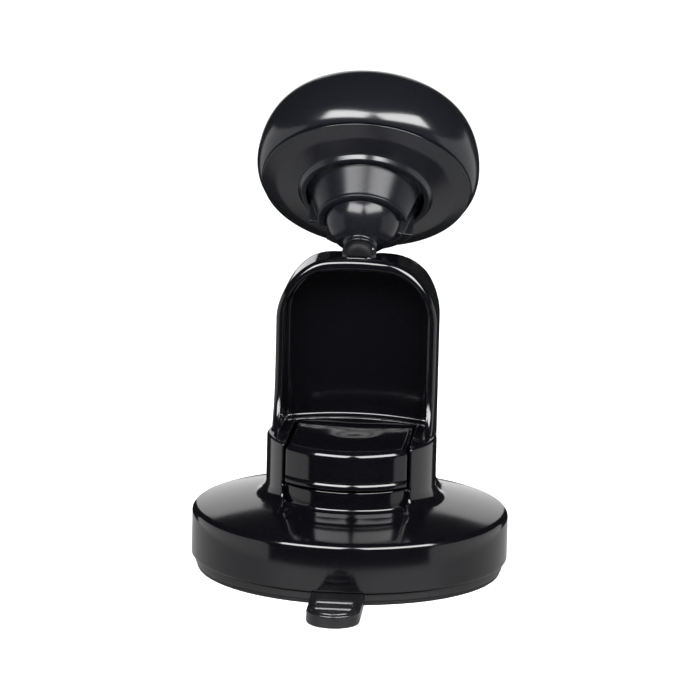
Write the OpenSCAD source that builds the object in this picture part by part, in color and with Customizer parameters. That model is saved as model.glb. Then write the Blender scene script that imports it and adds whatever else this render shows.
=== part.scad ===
// Suction-base phone mount with a ball-jointed magnetic head.
// Millimetres. +Z is up, +X is right seen from the lever side, -Y is the lever side.
// The origin is on the base's axis, in the plane of the suction face.

/* [Base] */
// Outer radius of the round base housing
housing_r = 35.5; // [34:0.5:38]
// Height of the housing's straight side, from the suction face
side_top_z = 12.0; // [11:0.5:12.5]
// Outer radius of the suction ring
ring_r = 34.5; // [33.5:0.1:34.5]
// Thickness of the suction ring and gel pad together
ring_h = 3.0; // [2.6:0.1:3.2]

/* [Turret and lever] */
// Radius of the turret
turret_r = 19.05; // [18.9:0.05:19.3]
// Height of the turret's rim and of the closed lever
seat_z = 31; // [30.5:0.5:31.5]
// Half of the lever's width
lever_hw = 13.6; // [13:0.1:13.8]
// Height of the lever's pin above the suction face when locked
pin_z = 24; // [23.8:0.1:24.2]
// Distance that the lever pulls the plunger up
lift = 3; // [2.5:0.5:3]

/* [Arm] */
// Half of the arm's width
arm_hw = 18.1; // [17.8:0.1:18.4]
// Height of the arm's shoulders
arm_top_z = 69.6; // [69:0.2:70.2]
// Depth of the arm's front rim
rim_y = 3; // [2.5:0.5:3.5]
// Depth of the arm's rear face
arm_rear_y = 17.6; // [17.4:0.1:18.4]

/* [Ball joint] */
// Radius of the ball
ball_r = 8.5; // [8:0.25:8.5]
// Elevation of the head's axis at rest
head_el = 43; // [40:0.5:45]

/* [Head] */
// Largest radius of the head
head_r = 25.15; // [24.5:0.05:26]
// Radius of the flat face pad
pad_r = 17.5; // [16:0.5:18]
// Number of disc magnets
magnet_count = 6; // [4:1:6]

/* [Hidden] */
$fn = 96;
gap = 0.2;
wall = 2.2;
eps = 0.01;

// Base heights and radii
gel_h = 0.9;
edge_r = 2.4;
edge_c = housing_r - edge_r;
top_edge_z = side_top_z + edge_r;
foot_r = turret_r + 2.2;
foot_z = 16.7;
foot_fillet = 2.2;
ledge_z = 15.7;
ledge_under_z = 12.4;
heel_floor_z = 14.3;
wear_h = 0.8;
slot_hx = 4.3;

// Lever
bay_hw = lever_hw + 0.2;
lip_z = 22.1;
lower_wall_top_z = lip_z - 0.3;
lower_wall_r = 17.9;
lever_top = 2.4;
pin_y = 2.5;
lever_rear_y = pin_y + 6.5;
skirt_rear_y = pin_y + 4.2;
bridge_y = pin_y + seat_z - pin_z + 0.3;
bridge_top_z = 33;
bridge_under_z = 30;
pin_r = 1.5;
cam_r = 6;
cam_off = lift / 2;
cam_x0 = 4.6;
cam_x1 = 9.2;
dish_r = 7.9;
dish_depth = 0.5;

// Plunger
eye_hx = 4;
eye_r = 4;
plate_r = 14;
plate_z0 = 4.6;
plate_z1 = 6.6;
spring_r = 6.9;
spring_wire = 0.55;
spring_turns = 4;
guide_r = 5.9;

// Membrane
membrane_t = 0.9;
membrane_out_r = 31.5;

// Arm
scoop_hw = 16.3;
scoop_top_z = 67.3;
scoop_back_y = 12.2;
cover_split_y = 14.6;
rim_sweep_y = -5;
rim_sweep_z = 45;
corner_r = 12.5;
crown = 0.5;
arm_screw_z = [27, 60];
arm_screw_r = 1.2;

// Ball joint, measured along the head's axis from the ball's centre
ball_y = 14.5;
ball_z = 77.5;
neck_r = 3.7;
neck_end = 8.9;
shank_r = 2.0;
shank_end = 11.6;
groove_s = 10.2;
groove_r = 1.2;
stud_pin_r = 0.6;
boss_r = 3.9;
bend_s = (ball_y - 7) / cos(head_el);
bend_y = 7;
bend_z = ball_z - bend_s * sin(head_el);
seat_gap = 0.08;
mouth_t = -1.6;
mouth_r = 9.75;
collar_r = 13.1;
lower_collar_r = 12.6;
collar_base_t = 6.8;
flange_r = 15.6;
flange_t0 = 9.8;
flange_t1 = 11.6;
slot_deg = 30;

// Head, along the same axis
seam_t = 8.8;
seam_r = 23.5;
wide_t = 14.0;
face_t = 26.4;
ring_boss_r = 14.8;
ring_boss_t = 5.3;
shell_wall = 2.0;
tray_t0 = 11.9;
tray_t1 = 15.4;
tray_r = 20.0;
yoke_t1 = 16.9;
yoke_r = 15.8;
magnet_r = 4.6;
magnet_h = 3;
magnet_ring_r = 11;
head_screw_ring = 17.9;

// Pull tab
tab_hw = 5.9;
tab_reach = 20.3;
tab_h = 3;
tab_turn = 1.3;

// Points of an arc in the plane, from angle a0 to a1
function arc(cx, cy, r, a0, a1, n = 10) =
    [for (i = [0 : n]) let (a = a0 + (a1 - a0) * i / n) [cx + r * cos(a), cy + r * sin(a)]];

// Places children with +Z along the head's axis and the ball's centre at the origin
module on_head_axis() {
    translate([0, ball_y, ball_z]) rotate([head_el - 90, 0, 0]) children();
}

// Extrudes an outline drawn in (Y, Z) across X, from -hw to +hw
module across_x(hw) {
    rotate([90, 0, 90]) translate([0, 0, -hw]) linear_extrude(2 * hw) children();
}

// Extrudes an outline drawn in (X, Z) along Y, from y0 to y1
module along_y(y0, y1) {
    translate([0, y1, 0]) rotate([90, 0, 0]) linear_extrude(y1 - y0) children();
}

// A disc or tube between two heights
module disc(r, z0, z1) {
    translate([0, 0, z0]) cylinder(r = r, h = z1 - z0);
}

// A cylinder along X between two x values
module rod_x(r, x0, x1, y, z) {
    translate([x0, y, z]) rotate([0, 90, 0]) cylinder(r = r, h = x1 - x0);
}

// ---------- Base housing with the front of the arm ----------

// Outline of the arm seen from the front
module arm_front_outline(hw, top_z, r) {
    translate([-hw, 0]) square([2 * hw, top_z - r]);
    translate([-(hw - r), 0]) square([2 * (hw - r), top_z]);
    for (s = [-1, 1])
        translate([s * (hw - r), top_z - r]) circle(r = r);
    intersection() {
        translate([0, top_z + crown - 60]) circle(r = 60, $fn = 240);
        translate([-(hw - r), top_z - 2]) square([2 * (hw - r), 4]);
    }
}

// Outline of the arm seen from the side: the rim sweeps forward onto the cheeks
function arm_side_points(rear) = concat(
    [[rim_sweep_y, foot_z - 3], [rim_sweep_y, seat_z]],
    [for (i = [1 : 10]) let (a = 9 * i)
        [rim_sweep_y + (rim_y - rim_sweep_y) * sin(a), rim_sweep_z - (rim_sweep_z - seat_z) * cos(a)]],
    [[rim_y, arm_top_z - 1.5], [rim_y + 1.5, arm_top_z + crown]],
    arc(rear - 7, arm_top_z + crown - 7, 7, 90, 0),
    [[rear, foot_z - 3]]
);

// Plan of the arm: straight sides and rounded rear corners
module arm_plan(hw, rear, r) {
    translate([-hw, rim_sweep_y - 1]) square([2 * hw, rear - r - rim_sweep_y + 1]);
    translate([-(hw - r), 0]) square([2 * (hw - r), rear]);
    for (s = [-1, 1])
        translate([s * (hw - r), rear - r]) circle(r = r);
}

module arm_envelope() {
    intersection() {
        along_y(rim_sweep_y - 1, arm_rear_y + 1) arm_front_outline(arm_hw, arm_top_z, corner_r);
        across_x(arm_hw + 1) polygon(arm_side_points(arm_rear_y));
        linear_extrude(90) arm_plan(arm_hw, arm_rear_y, 5.5);
    }
}

// The concave scoop that the raised lever folds into
module scoop() {
    side = concat(
        [[rim_sweep_y - 2, bridge_top_z]],
        arc(scoop_back_y - 3, bridge_top_z + 3, 3, -90, 0, 6),
        arc(scoop_back_y - 9, scoop_top_z - 9.2, 9, 0, 90, 8),
        [[rim_sweep_y - 2, scoop_top_z - 0.2]]
    );
    intersection() {
        along_y(rim_sweep_y - 3, scoop_back_y + 1)
            arm_front_outline(scoop_hw, scoop_top_z, corner_r - 2);
        across_x(scoop_hw + 1) polygon(side);
    }
}

// Shallow void between the scoop's wall and the rear cover
module arm_void() {
    intersection() {
        along_y(scoop_back_y + 1.5, arm_rear_y) arm_front_outline(arm_hw - wall, 62, corner_r - 2);
        translate([-arm_hw, 0, ledge_under_z]) cube([2 * arm_hw, arm_rear_y - wall, 60]);
    }
}

// Body of revolution: side wall, rounded edge, domed top, fillet and turret
module base_revolve() {
    rotate_extrude() polygon(concat(
        [[0, ring_h], [housing_r, ring_h], [housing_r, side_top_z]],
        arc(edge_c, side_top_z, edge_r, 10, 85, 6),
        [[edge_c - 5, top_edge_z + 0.9], [foot_r + 3.5, foot_z - 0.35]],
        arc(foot_r, foot_z + foot_fillet, foot_fillet, 270, 180, 6),
        [[turret_r, seat_z - 0.6], [turret_r - 0.6, seat_z], [0, seat_z]]
    ));
}

// The hollow under the dome
module base_hollow() {
    rotate_extrude() polygon([
        [0, ring_h - 1], [housing_r - wall, ring_h - 1], [housing_r - wall, side_top_z - 0.8],
        [edge_c - 2, ledge_under_z - 1.2], [foot_r, ledge_under_z], [0, ledge_under_z]
    ]);
}

// The bay for the lever: open to the front above its lip, deeper inside
module lever_bay() {
    // Space above the lip, out through the front
    translate([-bay_hw, -turret_r - 1, lower_wall_top_z]) cube([2 * bay_hw, turret_r + 1, 20]);
    // Recess of the wall under the lip
    difference() {
        translate([-bay_hw, -turret_r - 1, foot_z + 1.6])
            cube([2 * bay_hw, turret_r, lower_wall_top_z - foot_z]);
        disc(lower_wall_r, 0, 40);
    }
    // Interior down to the ledge
    intersection() {
        translate([-bay_hw, -20, ledge_z]) cube([2 * bay_hw, 20 + cover_split_y - 1.8, bridge_under_z - ledge_z]);
        union() {
            disc(lower_wall_r - 2.1, 0, 40);
            translate([-bay_hw, 0, 0]) cube([2 * bay_hw, 20, 40]);
        }
    }
    // Deeper floor that the lever's heel swings down to
    translate([-bay_hw, skirt_rear_y + 0.2, heel_floor_z])
        cube([2 * bay_hw, cover_split_y - 2 - skirt_rear_y, bridge_under_z - heel_floor_z]);
    // Opening of the seat, in front of the bridge
    translate([-bay_hw, -eps, ledge_z]) cube([2 * bay_hw, bridge_y + eps, 30]);
}

// Post on top of the arm that the ball stud's shank turns in
module stud_boss() {
    difference() {
        union() {
            translate([0, bend_y, bend_z]) sphere(r = boss_r);
            translate([0, bend_y, 0]) disc(boss_r, 67, bend_z);
        }
        on_head_axis() disc(9, -neck_end - 0.1, 5);
    }
}

// Keeps the arm's top clear of the neck and the ball
module neck_clearance() {
    disc(neck_r + 0.3, -neck_end - 0.1, -4);
    sphere(r = ball_r + 0.4);
}

module screw_bosses(r, h) {
    for (z = arm_screw_z)
        translate([0, cover_split_y, z]) rotate([90, 0, 0]) cylinder(r = r, h = h);
}

module base_housing() {
    color([0.03, 0.03, 0.035]) difference() {
        union() {
            difference() {
                union() {
                    base_revolve();
                    intersection() {
                        arm_envelope();
                        translate([-30, -30, 0]) cube([60, 30 + cover_split_y, 90]);
                    }
                }
                base_hollow();
                arm_void();
                scoop();
            }
            stud_boss();
            // Boss for the upper cover screw
            intersection() {
                screw_bosses(2.6, 3);
                translate([-5, scoop_back_y + 0.8, 50]) cube([10, 10, 20]);
            }
        }
        lever_bay();
        // Slot that guides the plunger
        translate([-slot_hx, pin_y - eye_r - 0.3, 0]) cube([2 * slot_hx, 2 * eye_r + 0.6, 20]);
        // Rear of the revolved turret that the cover stands in for
        translate([-30, cover_split_y, foot_z]) cube([60, 30, 30]);
        // Bore for the stud's shank and its retaining pin
        on_head_axis() disc(shank_r + 0.06, -shank_end - 0.2, -neck_end + 1);
        on_head_axis() rod_x(stud_pin_r, -2.6, 8, -groove_r - stud_pin_r - 0.05, -groove_s);
        // Room for the neck and the ball
        on_head_axis() neck_clearance();
        // Pilot holes of the cover screws
        screw_bosses(arm_screw_r, 1.85);
    }
}

// ---------- Rear cover ----------

module arm_rear_cover() {
    color([0.03, 0.03, 0.035]) difference() {
        intersection() {
            arm_envelope();
            translate([-30, cover_split_y + 0.05, foot_z + 0.05]) cube([60, 30, 90]);
        }
        intersection() {
            along_y(0, arm_rear_y - wall) arm_front_outline(arm_hw - wall, arm_top_z - 5, corner_r - 2);
            translate([-30, 0, foot_z + 2.2]) cube([60, 30, 90]);
            translate([-30, 0, 0]) cube([60, 30, arm_screw_z[1] - 4]);
        }
        on_head_axis() neck_clearance();
        for (z = arm_screw_z) {
            translate([0, arm_rear_y + 1, z]) rotate([90, 0, 0]) cylinder(r = arm_screw_r + 0.15, h = 10);
            translate([0, arm_rear_y + 1, z]) rotate([90, 0, 0]) cylinder(r = 2.5, h = 2.2);
        }
    }
}

module arm_cover_screws() {
    color([0.55, 0.55, 0.57]) for (z = arm_screw_z)
        translate([0, arm_rear_y - 1.2, z]) rotate([90, 0, 0]) difference() {
            union() {
                translate([0, 0, -1.0]) cylinder(r = 2.25, h = 1.0);
                cylinder(r = arm_screw_r, h = 3.6);
            }
            for (a = [0, 90])
                rotate(a) translate([-1.3, -0.25, -1.1]) cube([2.6, 0.5, 0.7]);
        }
}

module stud_pin() {
    color([0.7, 0.7, 0.72]) on_head_axis()
        rod_x(stud_pin_r, -2.6, 3.4, -groove_r - stud_pin_r - 0.05, -groove_s);
}

// ---------- Suction cup ----------

// Tongue of the ring that is pulled to let air in
module pull_tab() {
    tip_y = -ring_r - tab_reach + tab_hw;
    rotate(tab_turn) {
        translate([-tab_hw, tip_y, 0.1]) cube([2 * tab_hw, -ring_r + 1.8 - tip_y, tab_h - 0.1]);
        translate([0, tip_y, 0]) disc(tab_hw, 0.1, tab_h);
        for (i = [0, 1])
            rod_x(1.0, -4.2, 4.2, -ring_r - tab_reach + 5.9 + 5.4 * i, tab_h - 0.4);
    }
}

module suction_ring() {
    color([0.05, 0.05, 0.055]) difference() {
        union() {
            disc(ring_r, gel_h, ring_h - 0.05);
            pull_tab();
        }
        disc(membrane_out_r, 0, ring_h + 1);
        disc(ring_r - 0.3, 0, gel_h);
    }
}

module gel_pad() {
    color([0.1, 0.1, 0.1]) difference() {
        disc(ring_r - 0.4, 0, gel_h - 0.02);
        disc(membrane_out_r - 4, -1, 2);
    }
}

// Flexible dome between the ring and the plunger's plate, drawn up in the locked state
module suction_membrane() {
    color([0.08, 0.08, 0.085]) rotate_extrude() polygon([
        [0, plate_z0 - membrane_t - 0.05], [plate_r - 1, plate_z0 - membrane_t - 0.05],
        [membrane_out_r - 4, gel_h + 0.1], [membrane_out_r - 0.1, gel_h + 0.1],
        [membrane_out_r - 0.1, gel_h + 0.1 + membrane_t], [membrane_out_r - 3.6, gel_h + 0.1 + membrane_t],
        [plate_r - 0.6, plate_z0 - 0.05], [0, plate_z0 - 0.05]
    ]);
}

// ---------- Lock mechanism ----------

module plunger() {
    color([0.5, 0.5, 0.52]) difference() {
        union() {
            disc(plate_r, plate_z0, plate_z1);
            translate([-eye_hx, pin_y - eye_r, plate_z1 - 1]) cube([2 * eye_hx, 2 * eye_r, pin_z - plate_z1 + 1]);
            rod_x(eye_r, -eye_hx, eye_hx, pin_y, pin_z);
        }
        rod_x(pin_r + 0.05, -eye_hx - 1, eye_hx + 1, pin_y, pin_z);
    }
}

module return_spring() {
    height = ledge_under_z - 0.65 - plate_z1 - 2 * spring_wire - 0.04;
    color([0.75, 0.75, 0.77]) for (i = [0 : spring_turns])
        translate([0, pin_y, plate_z1 + spring_wire + 0.02 + height * i / spring_turns])
            rotate_extrude() translate([spring_r, 0]) circle(r = spring_wire, $fn = 16);
}

module spring_washer() {
    color([0.7, 0.7, 0.72]) difference() {
        translate([0, pin_y, 0]) disc(spring_r + 1.3, ledge_under_z - 0.6, ledge_under_z - 0.02);
        translate([0, pin_y, 0]) disc(guide_r, 0, 30);
    }
}

module wear_plate() {
    color([0.7, 0.7, 0.72]) difference() {
        translate([-11, -6.5, ledge_z + 0.01]) cube([22, 6.5 + skirt_rear_y, wear_h - 0.16]);
        translate([-slot_hx, pin_y - eye_r - 0.3, 0]) cube([2 * slot_hx, 2 * eye_r + 0.6, 40]);
    }
}

// Plan of the lever: round nose on the turret's radius, straight sides
module lever_plan(hw, nose_r, rear_y) {
    intersection() {
        circle(r = nose_r);
        translate([-hw, -25]) square([2 * hw, 25 + eps]);
    }
    translate([-hw, 0]) square([2 * hw, rear_y]);
}

// Side view of the lever: the top plate overhangs the skirt at the rear as a rounded heel
module lever_side_limit() {
    across_x(20) polygon(concat(
        [[-25, 0], [-25, seat_z]],
        arc(lever_rear_y - 1.6, seat_z - 1.6, 1.6, 90, 0, 6),
        [[lever_rear_y, seat_z - lever_top], [skirt_rear_y, seat_z - lever_top], [skirt_rear_y, 0]]
    ));
}

module locking_lever() {
    color([0.03, 0.03, 0.035]) difference() {
        union() {
            difference() {
                intersection() {
                    translate([0, 0, lip_z]) linear_extrude(seat_z - lip_z)
                        lever_plan(lever_hw, turret_r - 0.05, lever_rear_y);
                    lever_side_limit();
                }
                translate([0, 0, lip_z - 1]) linear_extrude(seat_z - lip_z - lever_top + 1)
                    lever_plan(lever_hw - wall, turret_r - 0.05 - wall, lever_rear_y + 1);
            }
            // Cam cheeks on each side of the plunger's eye
            for (s = [-1, 1]) {
                x0 = s > 0 ? cam_x0 : -cam_x1;
                x1 = s > 0 ? cam_x1 : -cam_x0;
                rod_x(cam_r, x0, x1, pin_y - cam_off, pin_z - cam_off);
                translate([x0, pin_y - cam_off - 4, pin_z - cam_off])
                    cube([cam_x1 - cam_x0, 8, seat_z - 1.5 - pin_z + cam_off]);
            }
        }
        // Slot that the plunger's eye swings through
        translate([-eye_hx - 0.35, pin_y - eye_r - 0.4, 0])
            cube([2 * eye_hx + 0.7, 20, pin_z + eye_r + 0.35]);
        // Pin hole, thumb dish and the groove above the finger lip
        rod_x(pin_r, -11.2, 11.2, pin_y, pin_z);
        translate([0, pin_y + 0.5, 0]) disc(dish_r, seat_z - dish_depth, seat_z + 1);
        difference() {
            disc(turret_r + 1, lip_z + 1.9, lip_z + 2.3);
            disc(turret_r - 0.45, 0, 40);
        }
    }
}

module lever_pin() {
    color([0.75, 0.75, 0.77]) rod_x(pin_r, -11, 11, pin_y, pin_z);
}

// ---------- Ball joint ----------

module ball_stud() {
    color([0.12, 0.12, 0.125]) on_head_axis() difference() {
        union() {
            sphere(r = ball_r);
            disc(neck_r, -neck_end, -4);
            disc(shank_r, -shank_end, -neck_end + 0.5);
        }
        difference() {
            disc(shank_r + 1, -groove_s - 0.75, -groove_s + 0.75);
            disc(groove_r, -20, 0);
        }
    }
}

// A wedge that opens the collar between two fingers, centred on angle a
module finger_slot(a) {
    rotate(a) translate([0, 0, mouth_t - 2]) linear_extrude(collar_base_t - mouth_t + 1.2)
        polygon([[0, 0], [25, -25 * tan(slot_deg / 2)], [25, 25 * tan(slot_deg / 2)]]);
}

// Collar with an upper tapered finger and a lower straight one, and the flange inside the head
module ball_socket() {
    color([0.1, 0.1, 0.105]) on_head_axis() difference() {
        union() {
            rotate_extrude() polygon([
                [0, mouth_t], [mouth_r, mouth_t], [collar_r - 0.9, collar_base_t - 1.2],
                [collar_r, collar_base_t], [collar_r, flange_t0], [flange_r, flange_t0],
                [flange_r, flange_t1], [0, flange_t1]
            ]);
            // Lower finger, shorter and straighter
            intersection() {
                disc(lower_collar_r, -0.4, collar_base_t);
                rotate(10) translate([-20, 4, -5]) cube([40, 20, 30]);
            }
        }
        sphere(r = ball_r + seat_gap);
        // Relief that the friction pad sits in
        disc(3.6, 5, flange_t1 - 1.2);
        for (a = [10, 150])
            finger_slot(a);
    }
}

// Soft plug behind the ball that gives the joint its drag
module friction_pad() {
    color([0.3, 0.3, 0.3]) on_head_axis() difference() {
        disc(3.55, 6, flange_t1 - 1.25);
        sphere(r = ball_r + seat_gap);
    }
}

// ---------- Head ----------

module head_back_cover() {
    color([0.06, 0.065, 0.075]) on_head_axis() difference() {
        union() {
            rotate_extrude() polygon([
                [collar_r + gap, ring_boss_t], [ring_boss_r - 0.4, ring_boss_t],
                [ring_boss_r, ring_boss_t + 0.4], [ring_boss_r + 0.3, ring_boss_t + 1.1],
                [20, seam_t - 1.3], [seam_r - 0.6, seam_t - 0.35], [seam_r, seam_t],
                [seam_r - shell_wall - 0.1, seam_t], [seam_r - shell_wall - 0.1, seam_t + 1.6],
                [seam_r - shell_wall - 1.5, seam_t + 1.6], [seam_r - shell_wall - 1.5, seam_t + 0.7],
                [19, flange_t0 - 0.1], [collar_r + gap, flange_t0 - 0.15]
            ]);
            // Screw posts
            for (i = [0 : 2])
                rotate(120 * i + 30) translate([head_screw_ring, 0, 0]) disc(1.9, seam_t - 1.2, tray_t0 - 0.02);
        }
        for (i = [0 : 2])
            rotate(120 * i + 30) translate([head_screw_ring, 0, 0]) disc(0.8, seam_t - 0.4, tray_t0 + 1);
    }
}

module head_front_shell() {
    outer = concat(
        [[seam_r, seam_t + 0.25]],
        [for (i = [1 : 12]) let (a = -70 + 12.5 * i)
            [pad_r + 0.8 + (head_r - pad_r - 0.8) * cos(a > 0 ? a : a * 0.55),
             wide_t + (a > 0 ? (face_t - wide_t) * sin(a) : (wide_t - seam_t - 1) * sin(a))]],
        [[pad_r + 0.8, face_t], [pad_r + 0.1, face_t - 0.5]]
    );
    inner = [
        [pad_r + 0.1, face_t - 2.4], [pad_r + 1.6, face_t - 2.4], [head_r - shell_wall - 1.2, wide_t + 5],
        [head_r - shell_wall - 0.3, wide_t], [seam_r - shell_wall, seam_t + 1.8],
        [seam_r - shell_wall, seam_t + 0.25]
    ];
    color([0.06, 0.065, 0.075]) on_head_axis() rotate_extrude() polygon(concat(outer, inner));
}

// Plastic carrier that locates the magnets and covers the socket's flange
module magnet_tray() {
    color([0.15, 0.15, 0.15]) on_head_axis() difference() {
        disc(tray_r, tray_t0, tray_t1);
        disc(flange_r + 0.3, 0, tray_t0 + 0.01);
        disc(9, tray_t0 - 1, tray_t0 + 1.4);
        for (i = [0 : 2])
            rotate(120 * i + 30) translate([head_screw_ring, 0, 0]) disc(1.0, 0, 30);
        for (i = [0 : 2])
            rotate(120 * i + 30) translate([head_screw_ring, 0, 0]) disc(2.0, tray_t1 - 1.4, 30);
    }
}

module yoke_plate() {
    color([0.65, 0.65, 0.67]) on_head_axis() disc(yoke_r, tray_t1 + 0.02, yoke_t1);
}

module magnets() {
    color([0.8, 0.8, 0.82]) on_head_axis() {
        for (i = [0 : magnet_count - 1])
            rotate(360 / magnet_count * i) translate([magnet_ring_r, 0, 0])
                disc(magnet_r, yoke_t1 + 0.02, yoke_t1 + magnet_h);
        disc(magnet_r, yoke_t1 + 0.02, yoke_t1 + magnet_h);
    }
}

// Rubber front of the head, with pockets over the magnets
module face_pad() {
    pocket_t = yoke_t1 + magnet_h + 0.05;
    color([0.04, 0.04, 0.045]) on_head_axis() difference() {
        union() {
            disc(pad_r, pocket_t, face_t);
            disc(pad_r + 1.4, pocket_t, face_t - 2.5);
        }
        disc(pad_r - 5, pocket_t - 1, pocket_t + 0.8);
    }
}

module head_screws() {
    color([0.6, 0.6, 0.62]) on_head_axis() for (i = [0 : 2])
        rotate(120 * i + 30) translate([head_screw_ring, 0, 0]) difference() {
            union() {
                disc(0.8, seam_t - 0.2, tray_t1 - 1.3);
                disc(1.7, tray_t1 - 1.35, tray_t1 - 0.2);
            }
            for (a = [0, 90])
                rotate(a) translate([-1.1, -0.2, tray_t1 - 0.8]) cube([2.2, 0.4, 1]);
        }
}

base_housing();
arm_rear_cover();
arm_cover_screws();
stud_pin();
suction_ring();
gel_pad();
wear_plate();
spring_washer();
plunger();
suction_membrane();
return_spring();
locking_lever();
lever_pin();
ball_stud();
ball_socket();
friction_pad();
head_back_cover();
head_front_shell();
magnet_tray();
yoke_plate();
magnets();
face_pad();
head_screws();
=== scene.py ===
"""Car phone mount with a suction base, a locking lever, a ball joint and a magnetic head.

Lengths in this script are millimetres in the part's own frame, and metres only where Blender needs them.
"""

import math

import bpy
import numpy as np
from mathutils import Matrix, Vector


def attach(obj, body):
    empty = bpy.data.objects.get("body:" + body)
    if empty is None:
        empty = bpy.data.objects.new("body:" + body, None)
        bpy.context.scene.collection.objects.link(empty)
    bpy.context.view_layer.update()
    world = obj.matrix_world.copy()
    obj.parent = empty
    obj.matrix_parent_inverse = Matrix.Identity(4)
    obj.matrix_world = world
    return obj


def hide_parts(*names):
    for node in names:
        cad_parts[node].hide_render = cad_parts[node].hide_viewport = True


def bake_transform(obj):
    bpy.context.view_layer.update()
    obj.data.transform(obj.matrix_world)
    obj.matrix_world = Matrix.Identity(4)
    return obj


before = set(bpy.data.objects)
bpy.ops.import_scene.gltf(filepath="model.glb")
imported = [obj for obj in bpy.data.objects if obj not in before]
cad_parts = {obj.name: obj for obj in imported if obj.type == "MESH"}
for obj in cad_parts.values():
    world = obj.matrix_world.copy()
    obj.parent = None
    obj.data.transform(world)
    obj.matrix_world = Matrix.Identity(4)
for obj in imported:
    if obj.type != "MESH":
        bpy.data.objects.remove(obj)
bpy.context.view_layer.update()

MM = 0.001
FINE = 1.0

# ---------------------------------------------------------------- driving dimensions
# In these names R is a radius, HW and HX half a width, X, Y and Z a place in the frame, T a place along the
# head's axis counted from the ball's centre, and EL an elevation.

# Base and suction cup
HOUSING_R = 35.5
RING_R = 34.5
RING_TOP_Z = 3.0
GEL_H = 0.9
CUP_BORE_R = 31.5
EDGE_R = 2.4
DOME_R = 130.0
DOME_FOOT_Z = 14.4
DOME_Z = DOME_FOOT_Z - math.sqrt(DOME_R ** 2 - (HOUSING_R - EDGE_R) ** 2)
TURRET_R = 19.05
SEAT_Z = 31.0
FOOT_Z = 16.7

# Lever, its bay, and the bridge behind it
LEVER_HW = 13.6
BAY_HW = 13.8
LIP_Z = 22.1
LOWER_WALL_R = 17.9
LOWER_WALL_TOP = 21.8
LEDGE_Z = 15.7
LEDGE_UNDER_Z = 12.4
HEEL_FLOOR_Z = 14.3
BRIDGE_Y = 9.8
BRIDGE_TOP_Z = 32.2
BRIDGE_UNDER_Z = 30.0
PIN_Y = 2.5
PIN_Z = 24.0
PIN_R = 1.5
LEVER_REAR_Y = 9.0
SKIRT_REAR_Y = 6.7
LEVER_TOP = 2.4
WALL = 2.2
CAM_R = 6.0
CAM_OFF = 1.5
CAM_X = (4.6, 9.2)
EYE_ROOM_HX = 4.3
DISH_R = 46.0
DISH_DEPTH = 0.35
PANEL_DEPTH = 0.3

# Arm, its scoop and its rear cover
ARM_HW = 18.1
ARM_TOP_Z = 70.1
ARM_REAR_Y = 17.6
RIM_Y = 3.0
SWEEP_Y = -5.0
SWEEP_Z = 45.0
SPLIT_Y = 14.6
SCOOP_HW = 16.3
SCOOP_TOP_Z = 67.3
SCOOP_BACK_Y = 12.2
ARM_VOID_TOP_Z = 62.0
COVER_VOID_TOP_Z = 56.0
ARM_SCREW_Z = (27.0, 60.0)
ARM_SCREW_R = 1.2
ARM_SCREW_HEAD_R = 2.5
CROWN_DIAMETER = 120

# Ball and neck
BALL = np.array([0.0, 14.5, 77.5])
BALL_R = 8.5
HEAD_EL = math.radians(43)
AXIS = np.array([0.0, math.cos(HEAD_EL), math.sin(HEAD_EL)])
DOWN = np.array([0.0, math.sin(HEAD_EL), -math.cos(HEAD_EL)])
NECK_R = 3.7
NECK_END = 8.9
SHANK_R = 2.0
SHANK_END = 11.6
GROOVE_T = (-10.95, -9.45)
BEND_Y = 7.0
BEND_Z = BALL[2] - (BALL[1] - BEND_Y) * math.tan(HEAD_EL)
BOSS_R = 3.9

# Socket's collar
MOUTH_T = -1.6
MOUTH_R = 9.75
COLLAR_R = 13.1
LOWER_COLLAR_R = 12.6
COLLAR_BASE_T = 6.8
FLANGE_R = 15.6
FLANGE_T = (9.8, 11.6)
SLOT_ANGLES = (10.0, 150.0)
SLOT_DEG = 30.0
LOWER_TURN = math.radians(10)

# Head
SEAM_T = 8.8
SEAM_R = 23.5
WIDE_T = 14.0
HEAD_R = 25.15
FACE_T = 26.4
PAD_R = 17.5
RING_BOSS_R = 14.8
RING_BOSS_T = 5.3
SHELL_WALL = 2.0

# Pull tab
TAB_HW = 5.9
TAB_REACH = 20.3
TAB_H = 3.0
TAB_TURN = math.radians(1.3)
RIB_R = 0.8
RIB_HX = 4.2
RIB_FIRST = 5.9
RIB_PITCH = 5.4
RIBS = 2


# ---------------------------------------------------------------- distance fields

def rmax(a, b, r):
    """Intersection of two fields with a rounded edge of radius r."""
    return np.minimum(np.maximum(a, b), -r) + np.hypot(np.maximum(a + r, 0), np.maximum(b + r, 0))


def rmin(a, b, r):
    """Union of two fields with a fillet of radius r."""
    return -rmax(-a, -b, r)


def box(x, y, z, low, high):
    """A box between two corners."""
    fx = np.maximum(low[0] - x, x - high[0])
    fy = np.maximum(low[1] - y, y - high[1])
    fz = np.maximum(low[2] - z, z - high[2])
    return rmax(rmax(fx, fy, 0.0), fz, 0.0)


def rod_x(x, y, z, r, x0, x1, cy, cz):
    """A cylinder along X."""
    return rmax(np.hypot(y - cy, z - cz) - r, np.maximum(x0 - x, x - x1), 0.0)


def head_frame(x, y, z):
    """Coordinates (u, v, t) about the ball: u along +X, t along the head's axis."""
    dy = y - BALL[1]
    dz = z - BALL[2]
    return x, dy * DOWN[1] + dz * DOWN[2], dy * AXIS[1] + dz * AXIS[2]


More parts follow.
